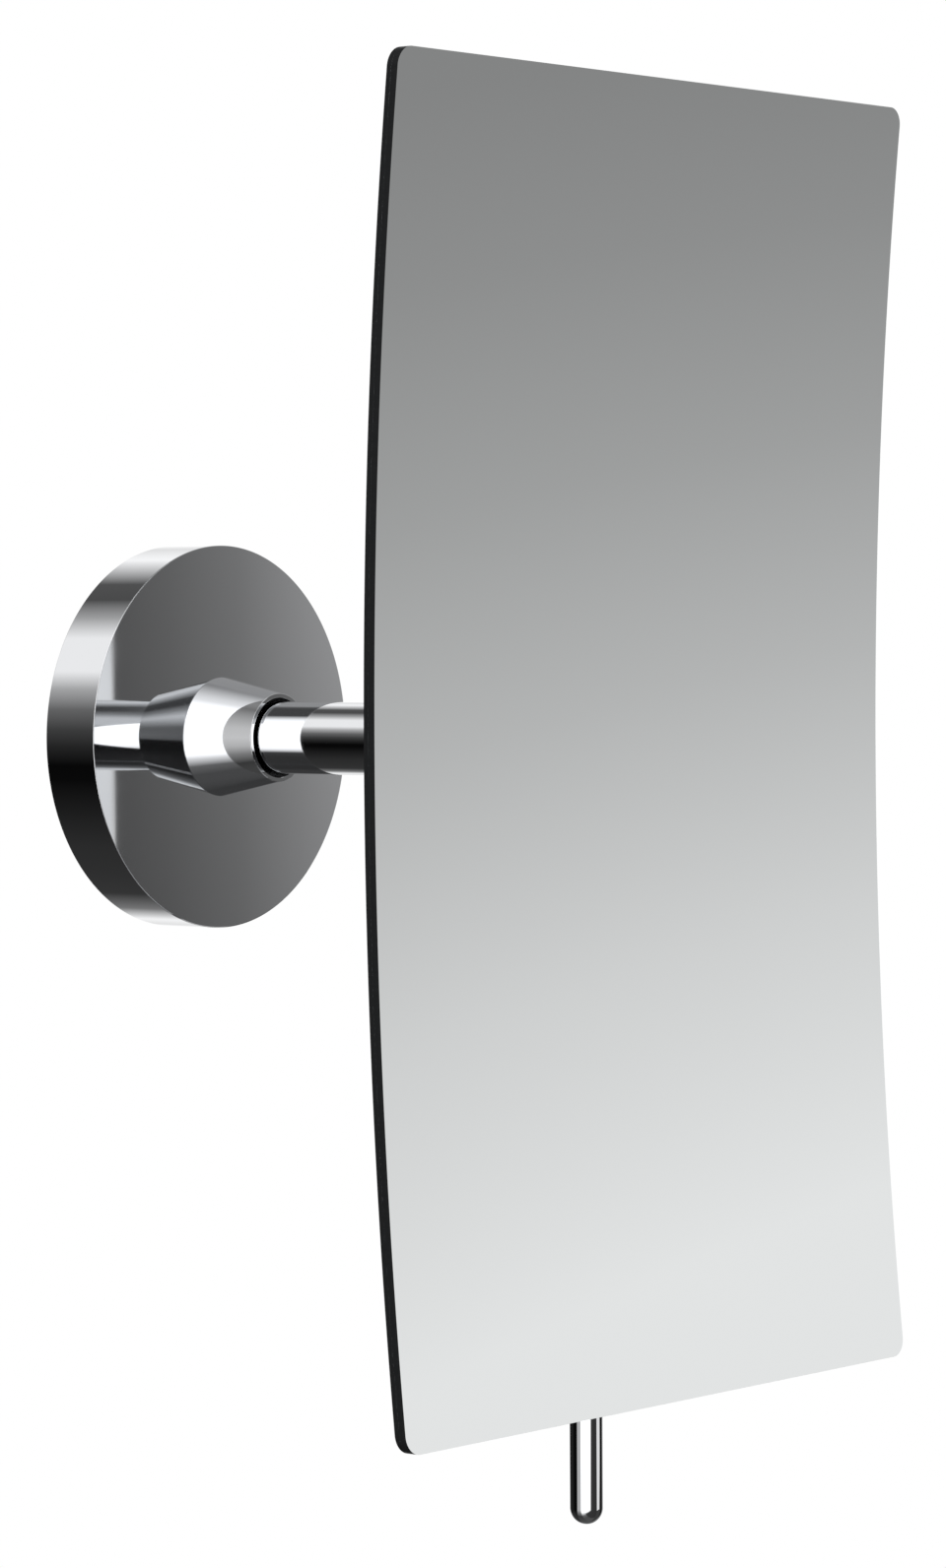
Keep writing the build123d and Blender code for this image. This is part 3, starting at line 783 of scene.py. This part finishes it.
def bent_sheet_tree(face_material, edge_material):
    """Geometry Nodes for a sheet with rounded corners, bent about a level axis in front of it."""
    tree = bpy.data.node_groups.new("bent_sheet", "GeometryNodeTree")
    names = ("Width", "Height", "Corner Radius", "Bend Radius", "Face Out", "Thickness")
    for name in names:
        tree.interface.new_socket(name, in_out="INPUT", socket_type="NodeSocketFloat")
    tree.interface.new_socket("Geometry", in_out="OUTPUT", socket_type="NodeSocketGeometry")
    known = {name: add_node(tree, "NodeGroupInput").outputs[name] for name in names}
    grid = add_node(
        tree, "GeometryNodeMeshGrid", {"Size X": 1.0, "Size Y": 1.0, "Vertices X": 49, "Vertices Y": 161}
    )
    place = add_node(tree, "GeometryNodeInputPosition").outputs[0]
    known["u"], known["v"], _ = add_node(tree, "ShaderNodeSeparateXYZ", {0: place}).outputs
    # The outer rows of the grid go round the corners by angle, and the rest are evenly spaced
    straight_share = 0.75
    steps = [
        ("side", "SIGN", "v"),
        ("doubled", "MULTIPLY", "v", 2.0),
        ("rise", "ABSOLUTE", "doubled"),
        ("straight", "DIVIDE", "rise", straight_share),
        ("straight", "MINIMUM", "straight", 1.0),
        ("past", "SUBTRACT", "rise", straight_share),
        ("past", "MAXIMUM", "past", 0.0),
        ("corner_turn", "MULTIPLY", "past", math.pi / 2 / (1 - straight_share)),
        ("half_height", "MULTIPLY", "Height", 0.5),
        ("inner_height", "SUBTRACT", "half_height", "Corner Radius"),
        ("half_width", "MULTIPLY", "Width", 0.5),
        ("inner_width", "SUBTRACT", "half_width", "Corner Radius"),
        ("sine", "SINE", "corner_turn"),
        ("cosine", "COSINE", "corner_turn"),
        ("corner_rise", "MULTIPLY", "sine", "Corner Radius"),
        ("corner_reach", "MULTIPLY", "cosine", "Corner Radius"),
        ("level", "MULTIPLY_ADD", "straight", "inner_height", "corner_rise"),
        ("z", "MULTIPLY", "level", "side"),
        ("reach", "ADD", "inner_width", "corner_reach"),
        ("doubled_u", "MULTIPLY", "u", 2.0),
        ("x", "MULTIPLY", "doubled_u", "reach"),
        ("z_square", "MULTIPLY", "z", "z"),
        ("face_square", "MULTIPLY", "Bend Radius", "Bend Radius"),
        ("face_left", "SUBTRACT", "face_square", "z_square"),
        ("face_drop", "SQRT", "face_left"),
        ("axis_out", "ADD", "Bend Radius", "Face Out"),
        ("y", "SUBTRACT", "face_drop", "axis_out"),
        ("rear_radius", "ADD", "Bend Radius", "Thickness"),
        ("rear_square", "MULTIPLY", "rear_radius", "rear_radius"),
        ("rear_left", "SUBTRACT", "rear_square", "z_square"),
        ("rear_drop", "SQRT", "rear_left"),
        ("depth", "SUBTRACT", "rear_drop", "face_drop"),
    ]
    known = work_out(tree, known, steps)
    spot = add_node(tree, "ShaderNodeCombineXYZ", {"X": known["x"], "Y": known["y"], "Z": known["z"]})
    backwards = add_node(tree, "ShaderNodeCombineXYZ", {"Y": known["depth"]})
    offset = add_node(tree, "GeometryNodeCaptureAttribute", {"Geometry": grid.outputs["Mesh"]})
    offset.capture_items.new("VECTOR", "depth")
    tree.links.new(backwards.outputs[0], offset.inputs["depth"])
    face = add_node(
        tree, "GeometryNodeSetPosition", {"Geometry": offset.outputs["Geometry"], "Position": spot.outputs[0]}
    ).outputs[0]
    wall = add_node(
        tree,
        "GeometryNodeExtrudeMesh",
        {"Mesh": face, "Offset": offset.outputs["depth"], "Offset Scale": 1.0, "Individual": False},
        mode="FACES",
    )
    turned_out = add_node(tree, "GeometryNodeFlipFaces", {"Mesh": wall.outputs["Mesh"]}).outputs[0]
    joined = add_node(tree, "GeometryNodeJoinGeometry")
    tree.links.new(turned_out, joined.inputs[0])
    tree.links.new(face, joined.inputs[0])
    closed = add_node(tree, "GeometryNodeMergeByDistance", {"Geometry": joined.outputs[0], "Distance": 1e-6})
    real = add_node(tree, "GeometryNodeRealizeInstances", {"Geometry": closed.outputs[0]})
    coated = add_node(
        tree, "GeometryNodeSetMaterial", {"Geometry": real.outputs[0], "Material": face_material}
    )
    edged = {"Geometry": coated.outputs[0], "Selection": wall.outputs["Side"], "Material": edge_material}
    edged = add_node(tree, "GeometryNodeSetMaterial", edged).outputs[0]
    add_node(tree, "NodeGroupOutput", {"Geometry": edged})
    return tree


def bent_sheet(name, node, face_material, edge_material, bend_radius, thickness):
    """One sheet of the panel, as large and in the same place as its construction node."""
    low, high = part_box(node)
    sizes = {
        "Width": high[0] - low[0],
        "Height": high[2] - low[2],
        "Corner Radius": 0.003,
        "Bend Radius": bend_radius,
        "Face Out": thickness - high[1],
        "Thickness": thickness,
    }
    piece = bpy.data.objects.new(name, bpy.data.meshes.new(name))
    scene.collection.objects.link(piece)
    tree = bent_sheet_tree(face_material, edge_material)
    maker = piece.modifiers.new("bent_sheet", "NODES")
    maker.node_group = tree
    for item in tree.interface.items_tree:
        if item.in_out == "INPUT":
            maker[item.identifier] = sizes[item.name]
    edge = piece.modifiers.new("broken_edge", "BEVEL")
    edge.limit_method = "ANGLE"
    edge.width = 0.00012
    edge.segments = 2
    settle(piece)
    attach(piece, "head")
    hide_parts(node)


pane_thickness = 0.0012
plate_thickness = 0.00086
face_bend = 0.992
dark_edge = ground_edge()
mirror_finish = polished_metal("silvered_mirror", "#F5F7F7", 0.004, 0.0000002)
backing_finish = polished_metal("polished_backing_plate", "#D4D6D8", 0.05, 0.000004)
bent_sheet(
    "backing_plate", "back_plate", backing_finish, dark_edge,
    face_bend + pane_thickness, plate_thickness,
)
bent_sheet(
    "magnifying_pane", "mirror_pane", mirror_finish, dark_edge, face_bend, pane_thickness
)


# Handle rod
# Turned brass rod, chromed, with a round lower end to turn the panel by without touching the mirror. Its
# threaded spigot is screwed into the socket body from below.
def handle_rod(chrome):
    """The straight rod, its round end and its spigot."""
    low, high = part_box("handle_rod")
    radius = high[0]
    socket_radius = along_arm("socket_body")[0]
    rod_out = -(low[1] + high[1]) / 2
    spigot = 0.002
    chamfer = 0.0004
    top = -high[2]
    end = -low[2]
    outline = [
        Vector((0, top)),
        Vector((spigot, top)),
        Vector((spigot, socket_radius)),
        Vector((radius - chamfer, socket_radius)),
        Vector((radius, socket_radius + chamfer)),
    ]
    rows = 24
    for row in range(rows + 1):
        angle = math.pi / 2 * row / rows
        spot = Vector((radius * math.cos(angle), end - radius + radius * math.sin(angle)))
        outline.append(spot if row < rows else Vector((0, end)))
    piece = turned("handle_bar", outline, (0, -rod_out, 0), (0, 0, -1), sides=192)
    stands_for(piece, "handle_rod", "head", chrome)


handle_rod(bright_chrome)
